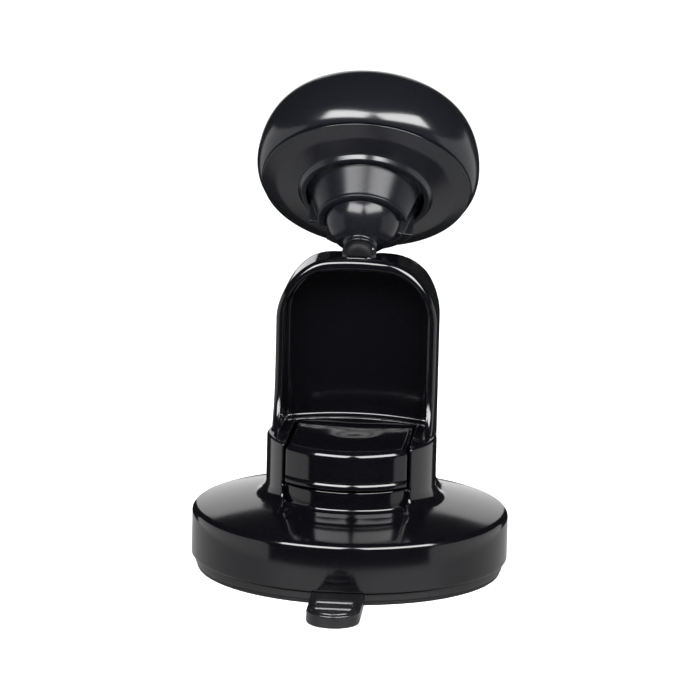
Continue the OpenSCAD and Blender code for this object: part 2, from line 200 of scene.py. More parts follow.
def arm_envelope(x, y, z):
    """Outer form of the arm, before the scoop and the split."""
    ax = np.abs(x)
    top = z - (ARM_TOP_Z - ax ** 2 / CROWN_DIAMETER)
    shoulders = rmax(ax - ARM_HW, top, 11.8)
    plan = rmax(ax - ARM_HW, y - ARM_REAR_Y, 5.5)
    crest = rmax(z - ARM_TOP_Z, y - ARM_REAR_Y, 7.0)
    body = np.maximum(np.maximum(shoulders, plan), crest)
    drop = np.clip((SWEEP_Z - z) / (SWEEP_Z - SEAT_Z), 0, 1)
    front = RIM_Y - (RIM_Y - SWEEP_Y) * (1 - np.sqrt(np.maximum(1 - drop ** 2, 0)))
    slope = (RIM_Y - SWEEP_Y) / (SWEEP_Z - SEAT_Z) * drop / np.sqrt(np.maximum(1 - drop ** 2, 0.02))
    face = (front - y) / np.sqrt(1 + slope ** 2)
    return rmax(rmax(body, face, 1.45), 13.0 - z, 0.0)


def scoop(x, y, z):
    """The hollow that the raised lever folds into; negative inside."""
    ax = np.abs(x)
    top = z - (SCOOP_TOP_Z - ax ** 2 / CROWN_DIAMETER)
    mouth = rmax(ax - SCOOP_HW, top, 9.0)
    hollow = rmax(mouth, y - SCOOP_BACK_Y, 1.4)
    floor = BRIDGE_TOP_Z - (BRIDGE_TOP_Z - SEAT_Z) * (ax / SCOOP_HW) ** 2
    return rmax(hollow, floor - z, 0.8)


def lever_bay(x, y, z):
    """The space for the lever, and the recess of the wall under its lip; both negative inside."""
    ax = np.abs(x)
    rho = np.hypot(x, y)
    side = ax - BAY_HW
    above = np.maximum(np.maximum(side, y - BRIDGE_Y), np.maximum(LOWER_WALL_TOP - z, z - SEAT_Z - 11))
    floor = rmax(LOWER_WALL_R - rho, FOOT_Z + 0.25 - z, 0.9)
    recess = np.maximum(np.maximum(side, floor), y + 5)
    room = np.maximum(np.minimum(rho - LOWER_WALL_R + 2.1, -y), np.maximum(y - SPLIT_Y + 1.8, LEDGE_Z - z))
    inside = np.maximum(np.maximum(side, room), z - BRIDGE_UNDER_Z)
    heel_low = (-BAY_HW, SKIRT_REAR_Y + 0.2, HEEL_FLOOR_Z)
    heel = box(x, y, z, heel_low, (BAY_HW, SPLIT_Y - 2, BRIDGE_UNDER_Z))
    return np.minimum(above, np.minimum(inside, heel)), recess


def stud_boss(x, y, z):
    """The rounded post on top of the arm that the stud stands in."""
    around = np.hypot(x, y - BEND_Y)
    ball = np.hypot(around, z - BEND_Z) - BOSS_R
    post = rmax(around - BOSS_R, np.maximum(ARM_TOP_Z - 3.1 - z, z - BEND_Z), 0.0)
    return np.minimum(ball, post)


def neck_room(x, y, z):
    """Space kept clear round the neck and the ball; negative inside."""
    u, v, t = head_frame(x, y, z)
    rho = np.hypot(u, v)
    neck = np.maximum(rho - NECK_R - 0.3, np.maximum(-NECK_END - 0.1 - t, t + 4))
    ball = np.sqrt(rho ** 2 + t ** 2) - BALL_R - 0.4
    end = np.maximum(rho - 9, np.maximum(-NECK_END - 0.1 - t, t - 5))
    return neck, ball, end


def base_housing(x, y, z):
    """The round housing with the turret, the lever's bay and the front of the arm."""
    rho = np.hypot(x, y)
    dome = np.hypot(rho, z - DOME_Z) - DOME_R
    body = rmax(rmax(rho - HOUSING_R, dome, 1.1), RING_TOP_Z - z, 0.4)
    turret = rmax(rho - TURRET_R, z - SEAT_Z, 0.7)
    turret = rmax(turret, 10 - z, 0.0)
    arm = arm_envelope(x, y, z)
    upper = rmin(turret, arm, 0.5)
    solid = rmin(body, upper, 2.8)
    rim_round = 0.35 + 0.55 * np.clip((z - 56) / 8, 0, 1)
    solid = rmax(solid, -scoop(x, y, z), rim_round)
    under = LEDGE_UNDER_Z - 1.2 * np.clip((rho - 21) / 10, 0, 1)
    solid = rmax(solid, -rmax(rho - HOUSING_R + WALL, z - under, 0.6), 0.3)
    pocket = rmax(np.abs(x) - ARM_HW + WALL, z - ARM_VOID_TOP_Z, 8.0)
    depth = np.maximum(SCOOP_BACK_Y + 1.5 - y, y - ARM_REAR_Y + WALL)
    pocket = np.maximum(pocket, np.maximum(depth, LEDGE_UNDER_Z - z))
    solid = np.maximum(solid, -pocket)
    neck, ball, end = neck_room(x, y, z)
    boss = rmax(stud_boss(x, y, z), -end, 0.3)
    boss = rmax(boss, RIM_Y + 0.95 - y, 0.5)
    solid = rmin(solid, boss, 0.25)
    bay, recess = lever_bay(x, y, z)
    bay_round = 0.3 + 0.5 * np.clip(2 * (LOWER_WALL_TOP + 1 - z), 0, 1)
    solid = rmax(rmax(solid, -recess, 0.9), -bay, bay_round)
    eye_room = box(x, y, z, (-EYE_ROOM_HX, PIN_Y - EYE_ROOM_HX, 0), (EYE_ROOM_HX, PIN_Y + EYE_ROOM_HX, 20))
    solid = np.maximum(solid, -eye_room)
    solid = rmax(solid, -np.maximum(SPLIT_Y - y, FOOT_Z - z), 0.2)
    u, v, t = head_frame(x, y, z)
    bore = np.maximum(np.hypot(u, v) - SHANK_R - 0.06, np.maximum(-SHANK_END - 0.2 - t, t + 7.9))
    solid = np.maximum(solid, -np.minimum(np.minimum(neck, ball), bore))
    for screw_z in ARM_SCREW_Z:
        pilot = np.hypot(x, z - screw_z) - ARM_SCREW_R
        solid = np.maximum(solid, -np.maximum(pilot, np.maximum(SPLIT_Y - 1.85 - y, y - SPLIT_Y - 0.4)))
    return solid


def arm_rear_cover(x, y, z):
    """The rear half of the arm, held by two countersunk screws."""
    solid = arm_envelope(x, y, z)
    solid = rmax(solid, np.maximum(SPLIT_Y + 0.05 - y, FOOT_Z + 0.05 - z), 0.3)
    hollow = rmax(np.abs(x) - ARM_HW + WALL, z - COVER_VOID_TOP_Z, 8.0)
    hollow = np.maximum(hollow, y - ARM_REAR_Y + WALL)
    solid = np.maximum(solid, -hollow)
    neck, ball, end = neck_room(x, y, z)
    solid = rmax(solid, -np.minimum(neck, ball), 0.3)
    for screw_z in ARM_SCREW_Z:
        rho = np.hypot(x, z - screw_z)
        solid = rmax(solid, -np.maximum(rho - ARM_SCREW_HEAD_R, ARM_REAR_Y - 1.2 - y), 0.2)
        solid = np.maximum(solid, ARM_SCREW_R + 0.15 - rho)
    return solid


def lever_plan(x, y, hw, nose_r, rear_y, r):
    """Plan of the lever: a round nose and straight sides."""
    nose = rmax(np.hypot(x, np.minimum(y, 0)) - nose_r, np.abs(x) - hw, r)
    return rmax(nose, y - rear_y, r)


def locking_lever(x, y, z):
    """The locking lever, with a raised rim, a thumb dish and a lip along its front."""
    rho = np.hypot(x, y)
    plan = lever_plan(x, y, LEVER_HW, TURRET_R - 0.05, LEVER_REAR_Y, 0.3)
    face = rmax(plan, z - SEAT_Z, 1.9)
    solid = rmax(face, LIP_Z - z, 0.3)
    heel = rmax(z - SEAT_Z, y - LEVER_REAR_Y, 1.6)
    solid = np.maximum(solid, heel)
    under_top = z - SEAT_Z + LEVER_TOP
    under_heel = rmax(y - SKIRT_REAR_Y, under_top, 0.0)
    solid = np.maximum(solid, -np.maximum(-under_heel, np.maximum(SKIRT_REAR_Y - y, under_top)))
    # Sunk panel inside the raised rim, and the thumb dish in it
    panel = lever_plan(x, y, LEVER_HW - 1.3, TURRET_R - 1.6, LEVER_REAR_Y + 3, 1.2)
    solid = rmax(solid, -rmax(panel, SEAT_Z - PANEL_DEPTH - z, 0.2), 0.25)
    dish_z = z - SEAT_Z + PANEL_DEPTH - DISH_R + DISH_DEPTH
    dish = np.sqrt(x ** 2 + (y - PIN_Y - 0.5) ** 2 + dish_z ** 2) - DISH_R
    solid = rmax(solid, -dish, 0.3)
    # Finger lip: below a small step, the wall flares out towards its lower edge
    up_lip = z - LIP_Z - 0.2
    flare_r = TURRET_R - 0.1 - 0.5 * np.clip(up_lip / 1.3, 0, 1) ** 2
    notch = np.maximum(np.maximum(up_lip - 1.4, -up_lip), flare_r - rho)
    solid = rmax(solid, -np.maximum(notch, y + 6), 0.2)
    # Hollow underside
    room = lever_plan(x, y, LEVER_HW - WALL, TURRET_R - 0.05 - WALL, LEVER_REAR_Y + 1, 0.4)
    solid = np.maximum(solid, -np.maximum(room, under_top))
    cy = PIN_Y - CAM_OFF
    cz = PIN_Z - CAM_OFF
    for x0, x1 in (CAM_X, (-CAM_X[1], -CAM_X[0])):
        cam = rod_x(x, y, z, CAM_R, x0, x1, cy, cz)
        web = box(x, y, z, (x0, cy - 4, cz), (x1, cy + 4, SEAT_Z - 1.5))
        solid = np.minimum(solid, np.minimum(cam, web))
    solid = np.maximum(solid, -box(x, y, z, (-4.35, PIN_Y - 4.4, 0), (4.35, 18.1, PIN_Z + 4.35)))
    return np.maximum(solid, PIN_R - np.hypot(y - PIN_Y, z - PIN_Z) - 20 * (np.abs(x) > 11.2))


def ball_socket(x, y, z):
    """The slotted collar that grips the ball, with its flange inside the head."""
    u, v, t = head_frame(x, y, z)
    rho = np.hypot(u, v)
    taper_t = [MOUTH_T, COLLAR_BASE_T - 1.2, COLLAR_BASE_T]
    taper = (rho - np.interp(t, taper_t, [MOUTH_R, COLLAR_R - 0.95, COLLAR_R])) * 0.95
    upper = rmax(taper, np.maximum(MOUTH_T - t, t - COLLAR_BASE_T), 0.6)
    bead = np.hypot(rho - MOUTH_R + 0.2, t - MOUTH_T - 0.6) - 0.58
    upper = rmin(upper, bead, 0.1)
    side = v * math.cos(LOWER_TURN) - u * math.sin(LOWER_TURN)
    lower = rmax(rho - LOWER_COLLAR_R, np.maximum(-0.4 - t, t - COLLAR_BASE_T), 0.4)
    lower = rmax(lower, 4 - side, 0.3)
    solid = rmin(upper, lower, 0.3)
    collar = rmax(rho - COLLAR_R, np.maximum(COLLAR_BASE_T - 0.6 - t, t - FLANGE_T[1]), 0.3)
    flange = rmax(rho - FLANGE_R, np.maximum(FLANGE_T[0] - t, t - FLANGE_T[1]), 0.2)
    solid = np.minimum(rmin(solid, collar, 0.3), flange)
    for angle in SLOT_ANGLES:
        a = math.radians(angle)
        along = u * math.cos(a) + v * math.sin(a)
        across = np.abs(v * math.cos(a) - u * math.sin(a))
        half = math.radians(SLOT_DEG / 2)
        wedge = across * math.cos(half) - along * math.sin(half)
        solid = rmax(solid, -rmax(wedge, t - COLLAR_BASE_T - 1.2, 0.6), 0.35)
    hollow = BALL_R + 0.08 - np.sqrt(rho ** 2 + t ** 2)
    solid = rmax(solid, hollow, 0.25)
    pad = np.maximum(rho - 3.6, np.maximum(5 - t, t - FLANGE_T[1] + 1.2))
    return np.maximum(solid, -pad)


def suction_ring(x, y, z):
    """The rubber ring with its pull tab, the tab's grip ribs and its raised edge."""
    rho = np.hypot(x, y)
    ring = rmax(rho - RING_R, np.maximum(GEL_H - z, z - RING_TOP_Z + 0.05), 0.45)
    tx = x * math.cos(TAB_TURN) + y * math.sin(TAB_TURN)
    ty = y * math.cos(TAB_TURN) - x * math.sin(TAB_TURN)
    tip_y = -RING_R - TAB_REACH + TAB_HW
    plan = np.where(ty < tip_y, np.hypot(tx, ty - tip_y) - TAB_HW, np.abs(tx) - TAB_HW)
    bottom = np.where(ty < -RING_R - 0.3, 0.1, GEL_H)
    tab = rmax(plan, np.maximum(bottom - z, z - TAB_H), 0.45)
    tab = np.maximum(tab, ty + RING_R - 1.8)
    rib_y = -RING_R - TAB_REACH + RIB_FIRST
    for i in range(RIBS):
        rib = rod_x(tx, ty, z, RIB_R, -RIB_HX, RIB_HX, rib_y + RIB_PITCH * i, TAB_H - 0.1)
        tab = rmin(tab, rib, 0.1)
    edge_rib = np.maximum(np.hypot(plan + 1.3, z - TAB_H + 0.1) - 0.6, ty - rib_y - RIB_PITCH)
    tab = rmin(tab, edge_rib, 0.1)
    solid = rmin(ring, tab, 0.5)
    return rmax(solid, CUP_BORE_R - rho, 0.3)


# ---------------------------------------------------------------- meshes

def gradient(field, points, step):
    """Slope of a field at each point, by central differences."""
    slope = np.empty_like(points)
    for i in range(3):
        offset = np.zeros(3)
        offset[i] = step
        slope[:, i] = (field(*(points + offset).T) - field(*(points - offset).T)) / (2 * step)
    return slope


def settle(field, points, cell):
    """Moves points onto the field's zero level, each by less than a cell."""
    start = points.copy()
    for _ in range(6):
        value = field(*points.T)
        slope = gradient(field, points, 0.02)
        size = np.maximum((slope ** 2).sum(1), 0.05)
        move = -(value / size)[:, None] * slope
        points = points + np.clip(move, -0.6 * cell, 0.6 * cell)
        points = start + np.clip(points - start, -0.9 * cell, 0.9 * cell)
    return points


def sample(field, axes, block=14):
    """True at each grid point inside the field, worked out only in the blocks near its surface."""
    shape = [len(a) for a in axes]
    inside = np.zeros(shape, bool)
    cell = axes[0][1] - axes[0][0]
    reach = block * cell * math.sqrt(3) / 2 * 1.35 + 0.6
    starts = [np.arange(0, n, block) for n in shape]
    centres = [a[np.minimum(s + block // 2, len(a) - 1)] for a, s in zip(axes, starts)]
    value = field(*(g.ravel() for g in np.meshgrid(*centres, indexing="ij")))
    value = value.reshape([len(s) for s in starts])
    for index in np.argwhere(value < reach):
        cut = tuple(slice(starts[i][k], starts[i][k] + block) for i, k in enumerate(index))
        if value[tuple(index)] < -reach:
            inside[cut] = True
            continue
        grid = np.meshgrid(*(a[c] for a, c in zip(axes, cut)), indexing="ij")
        inside[cut] = (field(*(g.ravel() for g in grid)) < 0).reshape(grid[0].shape)
    return inside


def surface_net(field, low, high, cell):
    """Quads along the zero level of a field: one vertex for each grid cell that the surface crosses."""
    low = np.array(low, float)
    counts = np.ceil((np.array(high, float) - low) / cell).astype(int) + 1
    axes = [low[i] + cell * np.arange(counts[i]) for i in range(3)]
    inside = sample(field, axes)
    total = np.zeros([n - 1 for n in counts], np.int8)
    for corner in np.ndindex(2, 2, 2):
        total += inside[tuple(slice(c, c + n - 1) for c, n in zip(corner, counts))]
    mixed = (total > 0) & (total < 8)
    number = np.full(mixed.shape, -1, np.int64)
    cells = np.argwhere(mixed)
    number[mixed] = np.arange(len(cells))
    quads = []
    for axis in range(3):
        b = (axis + 1) % 3
        c = (axis + 2) % 3
        near = np.take(inside, np.arange(counts[axis] - 1), axis)
        far = np.take(inside, np.arange(1, counts[axis]), axis)
        edges = np.argwhere(near != far)
        keep = (edges[:, b] > 0) & (edges[:, c] > 0)
        keep &= (edges[:, b] < counts[b] - 1) & (edges[:, c] < counts[c] - 1)
        edges = edges[keep]
        ring = []
        for db, dc in ((-1, -1), (0, -1), (0, 0), (-1, 0)):
            at = edges.copy()
            at[:, b] += db
            at[:, c] += dc
            ring.append(number[tuple(at.T)])
        quad = np.stack(ring, 1)
        outward = near[tuple(edges.T)]
        quad[~outward] = quad[~outward][:, ::-1]
        quads.append(quad)
    points = settle(field, low + cell * (cells + 0.5), cell)
    normals = gradient(field, points, 0.4 * cell)
    normals /= np.maximum(np.linalg.norm(normals, axis=1), 1e-9)[:, None]
    return points, np.concatenate(quads), normals


def make_object(name, points, faces, normals, material):
    """A smooth mesh object from points in millimetres, with its own vertex normals."""
    mesh = bpy.data.meshes.new(name)
    mesh.from_pydata((np.asarray(points) * MM).tolist(), [], [list(map(int, f)) for f in faces])
    mesh.polygons.foreach_set("use_smooth", np.ones(len(mesh.polygons), bool))
    mesh.update()
    mesh.normals_split_custom_set_from_vertices(np.asarray(normals).tolist())
    obj = bpy.data.objects.new(name, mesh)
    bpy.context.scene.collection.objects.link(obj)
    mesh.materials.append(material)
    return obj


def net_piece(name, field, low, high, cell, material):
    """An object made from a field inside a box, with cells of the given size."""
    points, faces, normals = surface_net(field, low, high, cell * FINE)
    return make_object(name, points, faces, normals, material)


def rounded(outline, steps=5):
    """A closed (r, t) outline with its corners rounded. Each corner is (r, t) or (r, t, radius)."""
    result = []
    count = len(outline)
    for i, corner in enumerate(outline):
        p = np.array(corner[:2], float)
        radius = corner[2] if len(corner) > 2 else 0.12
        a = np.array(outline[i - 1][:2], float) - p
        b = np.array(outline[(i + 1) % count][:2], float) - p
        la, lb = np.linalg.norm(a), np.linalg.norm(b)
        half = math.acos(np.clip(a @ b / (la * lb), -1, 1)) / 2
        if radius <= 0 or half > math.radians(88.5):
            result.append(p)
            continue
        reach = min(radius / math.tan(half), 0.48 * la, 0.48 * lb)
        radius = reach * math.tan(half)
        start = p + a / la * reach
        end = p + b / lb * reach
        centre = p + (a / la + b / lb) / np.linalg.norm(a / la + b / lb) * radius / math.sin(half)
        for k in range(steps + 1):
            chord = start + (end - start) * k / steps - centre
            result.append(centre + chord / np.linalg.norm(chord) * radius)
    return np.array(result)


def lathe(name, outline, centre, axis, material, segments=192):
    """Turns a closed (r, t) outline, listed anticlockwise seen with r to the right, about an axis."""
    segments = segments
    outline = np.asarray(outline, float)
    outline[:, 0] = np.maximum(outline[:, 0], 0)
    count = len(outline)
    step = np.roll(outline, -1, 0) - outline
    side = np.stack([step[:, 1], -step[:, 0]], 1)
    slope = side + np.roll(side, 1, 0)
    slope /= np.maximum(np.linalg.norm(slope, axis=1), 1e-12)[:, None]
    axis = Vector(axis).normalized()
    spin = np.array(axis.to_track_quat("Z", "Y").to_matrix())
    angle = np.arange(segments) * 2 * math.pi / segments
    around = np.stack([np.cos(angle), np.sin(angle)], 1)
    points = np.empty((count, segments, 3))
    normals = np.empty((count, segments, 3))
    points[..., :2] = outline[:, None, 0, None] * around[None]
    points[..., 2] = outline[:, None, 1]
    normals[..., :2] = slope[:, None, 0, None] * around[None]
    normals[..., 2] = slope[:, None, 1]
    faces = []
    pole = outline[:, 0] < 1e-6
    for i in range(count):
        j = (i + 1) % count
        if pole[i] and pole[j]:
            continue
        for k in range(segments):
            m = (k + 1) % segments
            if pole[i]:
                faces.append((i * segments, j * segments + m, j * segments + k))
            elif pole[j]:
                faces.append((i * segments + k, i * segments + m, j * segments))
            else:
                faces.append((i * segments + k, i * segments + m, j * segments + m, j * segments + k))
    points = points.reshape(-1, 3) @ spin.T + np.asarray(centre, float)
    normals = normals.reshape(-1, 3) @ spin.T
    used = np.zeros(len(points), bool)
    used[[v for f in faces for v in f]] = True
    number = np.cumsum(used) - 1
    faces = [tuple(number[v] for v in f) for f in faces]
    return make_object(name, points[used], faces, normals[used], material)


def spring_mesh(name, radius, wire, z0, z1, turns, centre_y, material):
    """A coil of round wire about a vertical axis, as one tube."""
    rings = int(turns * 56 / FINE)
    sides = 12
    angle = np.linspace(0, turns * 2 * math.pi, rings)
    closed = 0.75
    pitch_at = [0, closed, turns - closed, turns]
    rise = np.interp(np.linspace(0, turns, rings), pitch_at, [z0, z0 + 0.35, z1 - 0.35, z1])
    out = np.stack([np.cos(angle), np.sin(angle), 0 * angle], 1)
    up = np.array([0, 0, 1.0])
    centre = out * radius + np.stack([0 * rise, 0 * rise + centre_y, rise], 1)
    turn = np.arange(sides) * 2 * math.pi / sides
    normals = out[:, None] * np.cos(turn)[None, :, None] + up * np.sin(turn)[None, :, None]
    points = centre[:, None] + normals * wire
    faces = []
    for i in range(rings - 1):
        for k in range(sides):
            m = (k + 1) % sides
            faces.append((i * sides + k, i * sides + m, (i + 1) * sides + m, (i + 1) * sides + k))
    faces.append(list(range(sides))[::-1])
    faces.append([(rings - 1) * sides + k for k in range(sides)])
    faces = [f[::-1] for f in faces]
    return make_object(name, points.reshape(-1, 3), faces, normals.reshape(-1, 3), material)


# ---------------------------------------------------------------- materials

def moulded(name, dark, light, rough, spread, grain, bump, specular=0.5):
    """Moulded plastic, rubber or metal: fine grain in colour, gloss and surface, all from noise."""
    material = bpy.data.materials.new(name)
    material.use_nodes = True
    tree = material.node_tree
    shader = tree.nodes["Principled BSDF"]
    place = tree.nodes.new("ShaderNodeTexCoord")
    fine = tree.nodes.new("ShaderNodeTexNoise")
    fine.inputs["Scale"].default_value = grain
    fine.inputs["Detail"].default_value = 4
    broad = tree.nodes.new("ShaderNodeTexNoise")
    broad.inputs["Scale"].default_value = 45
    broad.inputs["Detail"].default_value = 2
    tint = tree.nodes.new("ShaderNodeValToRGB")
    tint.color_ramp.elements[0].position = 0.3
    tint.color_ramp.elements[0].color = (*dark, 1)
    tint.color_ramp.elements[1].position = 0.7
    tint.color_ramp.elements[1].color = (*light, 1)
    gloss = tree.nodes.new("ShaderNodeMapRange")
    gloss.inputs["From Min"].default_value = 0.3
    gloss.inputs["From Max"].default_value = 0.7
    gloss.inputs["To Min"].default_value = rough
    gloss.inputs["To Max"].default_value = rough + spread
    relief = tree.nodes.new("ShaderNodeBump")
    relief.inputs["Strength"].default_value = bump
    relief.inputs["Distance"].default_value = 0.00005
    link = tree.links.new
    link(place.outputs["Object"], fine.inputs["Vector"])
    link(place.outputs["Object"], broad.inputs["Vector"])
    link(fine.outputs["Fac"], tint.inputs["Fac"])
    link(broad.outputs["Fac"], gloss.inputs["Value"])
    link(fine.outputs["Fac"], relief.inputs["Height"])
    link(tint.outputs["Color"], shader.inputs["Base Color"])
    link(gloss.outputs["Result"], shader.inputs["Roughness"])
    link(relief.outputs["Normal"], shader.inputs["Normal"])
    shader.inputs["Specular IOR Level"].default_value = specular
    return material


def satin_above(material, height, extra):
    """Makes the part of a material above a height, in metres, rougher and less shiny."""
    tree = material.node_tree
    place = tree.nodes["Texture Coordinate"]
    shader = tree.nodes["Principled BSDF"]
    split = tree.nodes.new("ShaderNodeSeparateXYZ")
    step = tree.nodes.new("ShaderNodeMapRange")
    step.inputs["From Min"].default_value = height
    step.inputs["From Max"].default_value = height + 0.0006
    step.inputs["To Max"].default_value = extra
    total = tree.nodes.new("ShaderNodeMath")
    gloss = shader.inputs["Roughness"].links[0].from_socket
    tree.links.new(place.outputs["Object"], split.inputs["Vector"])
    tree.links.new(split.outputs["Z"], step.inputs["Value"])
    tree.links.new(gloss, total.inputs[0])
    tree.links.new(step.outputs["Result"], total.inputs[1])
    tree.links.new(total.outputs["Value"], shader.inputs["Roughness"])
    # The specular level falls from its usual 0.5 as the roughness rises
    dull = tree.nodes.new("ShaderNodeMath")
    dull.operation = "MULTIPLY_ADD"
    dull.inputs[1].default_value = -0.8
    dull.inputs[2].default_value = 0.5
    tree.links.new(step.outputs["Result"], dull.inputs[0])
    tree.links.new(dull.outputs["Value"], shader.inputs["Specular IOR Level"])


def metal(name, dark, light, rough, spread, grain, bump):
    """Bare or plated metal with the same fine grain."""
    material = moulded(name, dark, light, rough, spread, grain, bump)
    material.node_tree.nodes["Principled BSDF"].inputs["Metallic"].default_value = 1
    return material


GLOSS_BLACK = ((0.0012, 0.0012, 0.0018), (0.0018, 0.0018, 0.0026))
SATIN_BLACK = ((0.0035, 0.0038, 0.0052), (0.0050, 0.0053, 0.0070))
NECK_FOOT_Z = ARM_TOP_Z + 0.3

GLOSS_SHELL = moulded("gloss_shell", *GLOSS_BLACK, 0.09, 0.04, 900, 0.01)
satin_above(GLOSS_SHELL, NECK_FOOT_Z * MM, 0.42)
GLOSS_LEVER = moulded("gloss_lever", *GLOSS_BLACK, 0.09, 0.04, 900, 0.01)
HEAD_PLASTIC = moulded("head_plastic", *SATIN_BLACK, 0.17, 0.04, 1800, 0.02)
SOCKET_PLASTIC = moulded("socket_plastic", *SATIN_BLACK, 0.24, 0.05, 1500, 0.02, specular=0.22)
BALL_PLASTIC = moulded("ball_plastic", *SATIN_BLACK, 0.17, 0.05, 1500, 0.02, specular=0.3)
SOFT_RUBBER = moulded("soft_rubber", (0.003, 0.003, 0.0038), (0.0045, 0.0045, 0.0055), 0.22, 0.10, 1600, 0.10)
PAD_RUBBER = moulded("pad_rubber", (0.012, 0.012, 0.013), (0.019, 0.019, 0.021), 0.55, 0.12, 2600, 0.45)
GEL = moulded("gel", (0.004, 0.004, 0.005), (0.006, 0.006, 0.007), 0.35, 0.10, 700, 0.10, specular=0.3)
INNER_PLASTIC = moulded("inner_plastic", (0.045, 0.045, 0.047), (0.060, 0.060, 0.063), 0.42, 0.10, 1400, 0.20)
PIN_STEEL = metal("pin_steel", (0.50, 0.50, 0.52), (0.62, 0.62, 0.64), 0.18, 0.10, 1800, 0.10)
SCREW_STEEL = metal("screw_steel", (0.10, 0.10, 0.105), (0.16, 0.16, 0.165), 0.28, 0.12, 1600, 0.15)
SPRING_STEEL = metal("spring_steel", (0.42, 0.42, 0.44), (0.56, 0.56, 0.58), 0.24, 0.10, 2200, 0.15)
NICKEL = metal("nickel", (0.62, 0.60, 0.57), (0.74, 0.72, 0.69), 0.14, 0.10, 1200, 0.08)


# ---------------------------------------------------------------- pieces

def stand_for(obj, node, body):
    """obj rides on a body and is shown in place of a CAD node."""
    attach(obj, body)
    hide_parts(node)


housing_low = (-HOUSING_R - 1.1, -HOUSING_R - 1.1, RING_TOP_Z - 1)
housing_high = (HOUSING_R + 1.1, HOUSING_R + 1.1, BALL[2])
housing = net_piece("housing_shell", base_housing, housing_low, housing_high, 0.36, GLOSS_SHELL)
stand_for(housing, "base_housing", "base")

cover_low = (-ARM_HW - 0.8, SPLIT_Y - 0.7, FOOT_Z - 0.7)
cover_high = (ARM_HW + 0.8, ARM_REAR_Y + 0.8, ARM_TOP_Z + 0.9)
cover = net_piece("arm_back_shell", arm_rear_cover, cover_low, cover_high, 0.32, GLOSS_SHELL)
stand_for(cover, "arm_rear_cover", "base")

lever_low = (-LEVER_HW - 0.6, -TURRET_R - 0.65, PIN_Z - CAM_OFF - CAM_R - 0.7)
lever_high = (LEVER_HW + 0.6, LEVER_REAR_Y + 0.6, SEAT_Z + 0.6)
lever = net_piece("lever_shell", locking_lever, lever_low, lever_high, 0.2, GLOSS_LEVER)
stand_for(lever, "locking_lever", "lever")

socket_low = BALL - np.array([16.4, 12.5, 13.5])
socket_high = BALL + np.array([16.4, 19.8, 20.0])
socket = net_piece("socket_collar", ball_socket, socket_low, socket_high, 0.26, SOCKET_PLASTIC)
stand_for(socket, "ball_socket", "socket")

ring_low = (-RING_R - 0.9, -RING_R - TAB_REACH - 1.1, -0.4)
ring_high = (RING_R + 0.9, RING_R + 0.9, RING_TOP_Z + 1.4)
ring = net_piece("cup_ring", suction_ring, ring_low, ring_high, 0.28, SOFT_RUBBER)
stand_for(ring, "suction_ring", "base")

# Ball, neck and shank in one turned piece
shoulder = math.asin((NECK_R + 0.7) / BALL_R)
ball_arc = [
    (BALL_R * math.sin(a), -BALL_R * math.cos(a), 0)
    for a in np.linspace(shoulder, math.pi, 40)
]
groove_r = 1.2
ball_profile = [
    (0.0, -SHANK_END, 0), (SHANK_R, -SHANK_END, 0.3), (SHANK_R, GROOVE_T[0], 0.1),
    (groove_r, GROOVE_T[0], 0.1), (groove_r, GROOVE_T[1], 0.1), (SHANK_R, GROOVE_T[1], 0.1),
    (SHANK_R, -NECK_END, 0.1), (NECK_R, -NECK_END, 0.35), (NECK_R, -BALL_R * math.cos(shoulder) - 0.45, 0.6),
] + ball_arc
stud = lathe("ball_and_neck", rounded(ball_profile), BALL, AXIS, BALL_PLASTIC)
stand_for(stud, "ball_stud", "stud")

# Back cover of the head, with the raised ring round the collar
back_profile = rounded([
    (COLLAR_R + 0.2, FLANGE_T[0] - 0.15), (COLLAR_R + 0.2, RING_BOSS_T, 0.2),
    (RING_BOSS_R - 0.3, RING_BOSS_T, 0.35), (RING_BOSS_R + 0.3, RING_BOSS_T + 1.2, 0.5),
    (20.0, SEAM_T - 1.35, 12), (SEAM_R, SEAM_T - 0.3, 0.3),
    (SEAM_R, SEAM_T, 0.1), (SEAM_R - 2.1, SEAM_T, 0.1), (SEAM_R - 2.1, SEAM_T + 1.6, 0.1),
    (SEAM_R - 3.5, SEAM_T + 1.6, 0.1), (SEAM_R - 3.5, SEAM_T + 0.75, 0.1), (19, FLANGE_T[0] - 0.1, 0.3),
])
back = lathe("head_back_shell", back_profile, BALL, AXIS, HEAD_PLASTIC, 256)
stand_for(back, "head_back_cover", "head")

# Front shell of the head
bulge = HEAD_R - PAD_R - 0.8
lower_h = 5.6
lower_end = (WIDE_T - SEAM_T - 0.25) / lower_h
front_arc = []
for k in np.linspace(lower_end, 0.03, 18):
    inset = (1 - math.sqrt(1 - k ** 2)) / (1 - math.sqrt(1 - lower_end ** 2))
    front_arc.append((HEAD_R - (HEAD_R - SEAM_R) * inset, WIDE_T - lower_h * k, 0))
for a in np.linspace(0, 88, 30):
    lean = math.radians(a)
    front_arc.append((PAD_R + 0.8 + bulge * math.cos(lean), WIDE_T + (FACE_T - WIDE_T) * math.sin(lean), 0))
front_profile = rounded(
    front_arc
    + [
        (PAD_R + 0.35, FACE_T, 0.2), (PAD_R + 0.1, FACE_T - 0.4, 0.1), (PAD_R + 0.1, FACE_T - 2.4, 0.1),
        (PAD_R + 1.6, FACE_T - 2.4, 0.1), (HEAD_R - 3.2, WIDE_T + 5, 1), (HEAD_R - 2.3, WIDE_T, 1),
        (SEAM_R - SHELL_WALL, SEAM_T + 1.8, 0.5), (SEAM_R - SHELL_WALL, SEAM_T + 0.25, 0.1),
    ]
)
front = lathe("head_front", front_profile, BALL, AXIS, HEAD_PLASTIC, 256)
stand_for(front, "head_front_shell", "head")

